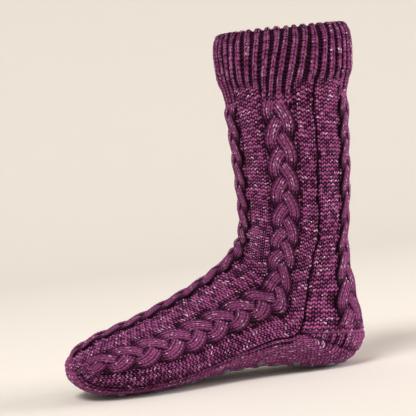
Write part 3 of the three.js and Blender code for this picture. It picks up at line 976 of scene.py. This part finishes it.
def grown(name, mesh, tree, inputs):
    """A piece of what the tree makes of this mesh with these inputs, as its own plain mesh."""
    piece = new_object(name, mesh)
    modifier = piece.modifiers.new(tree.name, "NODES")
    modifier.node_group = tree
    for item in tree.interface.items_tree:
        if item.in_out == "INPUT" and item.name in inputs:
            modifier[item.identifier] = inputs[item.name]
    shape = piece.evaluated_get(bpy.context.evaluated_depsgraph_get())
    plain = bpy.data.meshes.new_from_object(shape)
    piece.modifiers.clear()
    piece.data = plain
    print(name, "has", sum(len(p.vertices) - 2 for p in plain.polygons), "triangles")
    return piece


def raise_stitches(name, mesh):
    return grown(name, mesh, STITCHES, {**STITCH_SIZES, "Yarn": marl})


def front_piece(name, rows):
    part = {n: (values + 0 * front_t)[rows] for n, values in front.items()}
    return raise_stitches(name, slab(name, front_net[rows], front_out[rows], part, True))


leg_front = front_piece("knit_leg_front", slice(0, gore_row + 1))
instep = front_piece("knit_instep", slice(gore_row, None))
leg_back = raise_stitches("knit_leg_back", slab("leg back", back_net, back_out, back, False))
heel_mesh = slab("heel", heel_net, heel_out, heel_chart, False, pinched=True)
heel_cup = raise_stitches("knit_heel", heel_mesh)
sole_knit = raise_stitches("knit_sole", slab("sole", sole_net, sole_out, sole, False))

# %% [markdown]
# ## The cuff
#
# The cuff is knitted twice as deep and turned in, so it is a closed ring: up the outside, over the rim, and
# down the inside. Its columns are the leg's, so its lower border meets the leg point for point, and the
# last of its rows take the leg's directions. The ribs are on both faces, and they scallop the rim.

# %% Make the cuff
CUFF_COURSES = 19
OUTER_ROWS = 4 * CUFF_COURSES + 1
BLEND_ROWS, RIM_ROWS, INNER_ROWS, RIM_RISE = 12, 7, 20, 2.2
UP = np.array([0, 0, 1.0])


def round_the_leg(front_values, back_values):
    """One ring of columns: the front's, and the back's without the two that the front has too."""
    return np.concatenate([front_values, back_values[:, -2:0:-1]], axis=1)


cuff_t = np.linspace(CUFF_EDGE, 0, OUTER_ROWS)[:, None]
ring = round_the_leg(net_of("front", cuff_t + 0 * FRONT_SHARE, FRONT_SHARE),
                     net_of("back", cuff_t + 0 * BACK_SHARE, BACK_SHARE))
wrapped = np.concatenate([ring[:, -1:], ring, ring[:, :1]], axis=1)
ring_out = outward(wrapped, 1)[:, 1:-1]
leg_top_out = round_the_leg(front_out[:1], back_out[:1])
up_the_cuff = ease(np.arange(OUTER_ROWS), 0, BLEND_ROWS)[:, None, None]
ring_out = unit(leg_top_out * (1 - up_the_cuff) + unit(ring_out * [1, 1, 0.15]) * up_the_cuff)
ring_share = round_the_leg(FRONT_ROUND[None], BACK_ROUND[None])

turns = np.linspace(0, np.pi, RIM_ROWS + 2)[1:-1, None, None]
top_out = unit(ring_out[-1] * [1, 1, 0])
rim = ring[-1] - top_out * KNIT_WALL * (1 - np.cos(turns)) + UP * RIM_RISE * np.sin(turns)
rim_out = unit(top_out * np.cos(turns) + UP * np.sin(turns))
inner_rows = np.round(np.linspace(OUTER_ROWS - 1, 0, INNER_ROWS)).astype(int)
cuff_net = np.concatenate([ring, rim, (ring - 2 * KNIT_WALL * ring_out)[inner_rows]])
cuff_out = np.concatenate([ring_out, rim_out, -ring_out[inner_rows]])
outer_course = np.linspace(0, -CUFF_COURSES, OUTER_ROWS)
rim_course = np.linspace(-CUFF_COURSES - 0.4, -CUFF_COURSES - 3, RIM_ROWS)
inner_course = -CUFF_COURSES * 2 - outer_course[inner_rows] - 3.4
cuff_course = np.concatenate([outer_course, rim_course, inner_course])[:, None]
print("The cuff's net has", cuff_net.shape[0], "rows of", cuff_net.shape[1], "points")

# %% Chart the cuff
leg_top = {n: round_the_leg((front[n] + 0 * front_t)[:1], (back[n] + 0 * back_t)[:1]) for n in CHART_NAMES}
rows_up = np.minimum(cuff_course, 0)
cuff_rib = rib_weight(leg_top["cable_place"], rows_up)
ground_left = leg_top["purl"] / np.maximum(1 - leg_top["rib"], 0.001)
cuff_chart = {
    **leg_top, "course": cuff_course + leg_top["course"], "rib": cuff_rib,
    "purl": ground_left * (1 - cuff_rib), "plain": (1 - ground_left) * (1 - cuff_rib),
    "rib_place": rib_count(ring_share, rows_up),
    "press": leg_top["press"] * (1 - ease(-rows_up, 0, 5)),
}
inside_cuff = np.arange(len(cuff_net)) >= OUTER_ROWS + RIM_ROWS
cuff_chart["rib"][inside_cuff] *= 0.5
cuff_chart["press"][inside_cuff] = 0
grid = np.arange(cuff_net[..., 0].size).reshape(cuff_net.shape[:2])
round_grid = np.concatenate([grid, grid[:, :1]], axis=1)
round_grid = np.concatenate([round_grid, round_grid[:1]])
row_map, col_map = (np.linspace(0.005, 0.995, n) for n in round_grid.shape)
cuff_maps = cells(np.stack(np.meshgrid(col_map, row_map), axis=-1))
cuff_border = np.isin(grid.ravel(), [grid[0], grid[-1]])
cuff_mesh = mesh_of("cuff", cuff_net.reshape(-1, 3), [cells(round_grid)], [cuff_maps], cuff_border)
cuff_chart["lining"] = grid >= grid[OUTER_ROWS, 0]
add_chart(cuff_mesh, {n: (v + 0 * cuff_net[..., 0]).ravel() for n, v in cuff_chart.items()}, cuff_out)
cuff = raise_stitches("knit_cuff", cuff_mesh)

# %% [markdown]
# ## Grip dots
#
# Silicone is printed on the sole in drops, so each dot is a low dome that has run out a little at its foot.
# A point stands for each dot, at the place of its solid, and the tree puts one dome on every point, turned
# to lie flat on the cloth there. One dome of a few dozen faces is enough for a drop six millimetres wide.

# %% Make the dots
DOT_SIZES = {"Dot radius": 3.0, "Dot height": 1.0}

dot_names = sorted(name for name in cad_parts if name.startswith("grip_dot"))
corners = np.array([[list(c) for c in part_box(name)] for name in dot_names]) * 1000
under = np.concatenate([heel_net[pocket_end:].reshape(-1, 3), sole_net.reshape(-1, 3)])
under_out = np.concatenate([heel_out[pocket_end:].reshape(-1, 3), sole_out.reshape(-1, 3)])
middles = corners.mean(axis=1)
nearest = [np.argmin(np.linalg.norm(under - middle, axis=1)) for middle in middles]
dot_out = under_out[nearest]
seats = middles - 0.5 * dot_out


def dot_tree():
    tree, given = new_tree("grip dots", DOT_SIZES, "Silicone")
    dome = add_node(tree, "GeometryNodeMeshUVSphere", {"Segments": 20, "Rings": 9, "Radius": 1.0})
    wide, high = (Wire(tree, given[name]) * 0.001 for name in DOT_SIZES)
    out = read_chart(tree, "out", "FLOAT_VECTOR")
    lie = add_node(tree, "FunctionNodeAlignRotationToVector", {"Vector": out}, axis="Z")
    scatter = add_node(tree, "GeometryNodeInstanceOnPoints", {
        "Points": given["Geometry"], "Instance": dome.outputs["Mesh"],
        "Rotation": lie.outputs["Rotation"], "Scale": wire_vector(tree, wide, wide, high)})
    smooth = add_node(tree, "GeometryNodeSetShadeSmooth", {"Geometry": scatter.outputs["Instances"]})
    end_tree(tree, smooth.outputs[0], given["Silicone"])
    return tree


dot_points = bpy.data.meshes.new("dot points")
dot_points.from_pydata([tuple(p / 1000) for p in seats], [], [])
add_chart(dot_points, {}, dot_out)
dots = grown("grip_dots", dot_points, dot_tree(), {**DOT_SIZES, "Silicone": silicone})

# %% [markdown]
# ## Floor, light and camera
#
# The photograph is a plain shop picture: an even pale ground, a broad light from the front left, a pinker
# one that catches the back of the leg, soft shadows, and a long lens held level with the sock. Two sun
# lamps with a wide angle give those lights, and they light the sock alike from every side it is looked at.
# Area lamps would do too, but they leave a bright patch on the floor. The floor curves up behind, so no
# line shows its end. From the other sides its end does show, so the air is as bright and as warm as the
# paper there, and dimmer higher up.

# %% Floor and backdrop
NEAR_PAPER, FAR_PAPER_SHADE = (0.775, 0.73, 0.67), (0.6, 0.567, 0.517)
BEND_START, BEND_RADIUS, PAPER_TOP = 1.2, 1.5, 7.0


def shaded_along(tree, kind, axis, stops):
    """Colours that follow one axis of these coordinates."""
    split = add_node(tree, "ShaderNodeSeparateXYZ", {0: coordinates(tree, kind)})
    return ramp(tree, split.outputs[axis], stops)


backdrop, tree, shader = new_material("studio_paper", NEAR_PAPER, 0.95)
# The paper is painted darker from 0.15 m to 1 m behind the sock and stays so over the bend and up the wall:
# painted shade that evens out the stronger light falling on the upright part.
paper_colour = shaded_along(tree, "Object", "Y", [(0.15, NEAR_PAPER), (1.0, FAR_PAPER_SHADE)])
tree.links.new(paper_colour, shader.inputs["Base Color"])
bend = [(BEND_START + BEND_RADIUS * math.sin(a), BEND_RADIUS - BEND_RADIUS * math.cos(a))
        for a in np.linspace(0, math.pi / 2, 13)]
profile = [(-6.0, 0.0), (BEND_START, 0.0), *bend, (BEND_START + BEND_RADIUS, PAPER_TOP)]
sheet_points = [(x, y, z) for x in (-7.0, 7.0) for y, z in profile]
count = len(profile)
sheet_faces = [(i, i + count, i + count + 1, i + 1) for i in range(count - 1)]
paper_mesh = bpy.data.meshes.new("studio paper")
paper_mesh.from_pydata(sheet_points, [], sheet_faces)
paper_mesh.shade_smooth()
paper_mesh.materials.append(backdrop)
paper = new_object("studio_paper", paper_mesh)
print("Floor of", len(sheet_faces), "strips")

# %% Lights


def sunlight(name, heading, strength, spread, colour):
    lamp = bpy.data.lights.new(name, "SUN")
    lamp.energy, lamp.angle, lamp.color = strength, math.radians(spread), colour
    turned = Vector(heading).to_track_quat("-Z", "Y").to_euler()
    new_object(name, lamp).rotation_euler = turned


world = bpy.data.worlds.new("studio")
world.use_nodes = True
air = world.node_tree
glow = shaded_along(air, "Generated", "Z", [(0.1, (0.95, 0.87, 0.78)), (0.3, (0.4, 0.388, 0.376))])
air.links.new(glow, air.nodes["Background"].inputs["Color"])
bpy.context.scene.world = world
sunlight("window_light", (0.5, 0.4, -0.95), 2.1, 24, (1.0, 0.985, 0.96))
sunlight("side_light", (-1.0, 0.15, -0.25), 3.0, 40, (1.0, 0.93, 0.97))

# %% Camera
SENSOR, HALF_VIEW, distance = 36, 0.163, 1.25
azimuth, rise, roll = (math.radians(turn) for turn in (-17, 3.0, -5.0))
look_at = Vector((0.0, 0.0, 0.135))
backwards = Vector((math.sin(azimuth) * math.cos(rise), -math.cos(azimuth) * math.cos(rise), math.sin(rise)))
lens = bpy.data.cameras.new("camera")
lens.sensor_width = SENSOR
lens.lens = SENSOR / (2 * HALF_VIEW / distance)
camera = new_object("camera", lens)
facing = backwards.to_track_quat("Z", "Y").to_matrix().to_4x4()
place = Matrix.Translation(look_at + backwards * distance)
camera.matrix_world = place @ facing @ Matrix.Rotation(roll, 4, "Z")
bpy.context.scene.camera = camera
bpy.context.scene.view_settings.view_transform = "Standard"
print("Camera at", tuple(round(n, 3) for n in camera.matrix_world.translation))

# %% [markdown]
# ## The pieces on the part
#
# Every piece rides on the one body of the part, and the CAD solids that the pieces stand for are hidden.

# %% Tie the pieces to the part
knits = [cuff, leg_front, leg_back, heel_cup, instep, sole_knit]
for piece in knits:
    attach(piece, "root")
    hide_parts("knit_sock")
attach(dots, "root")
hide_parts(*dot_names)
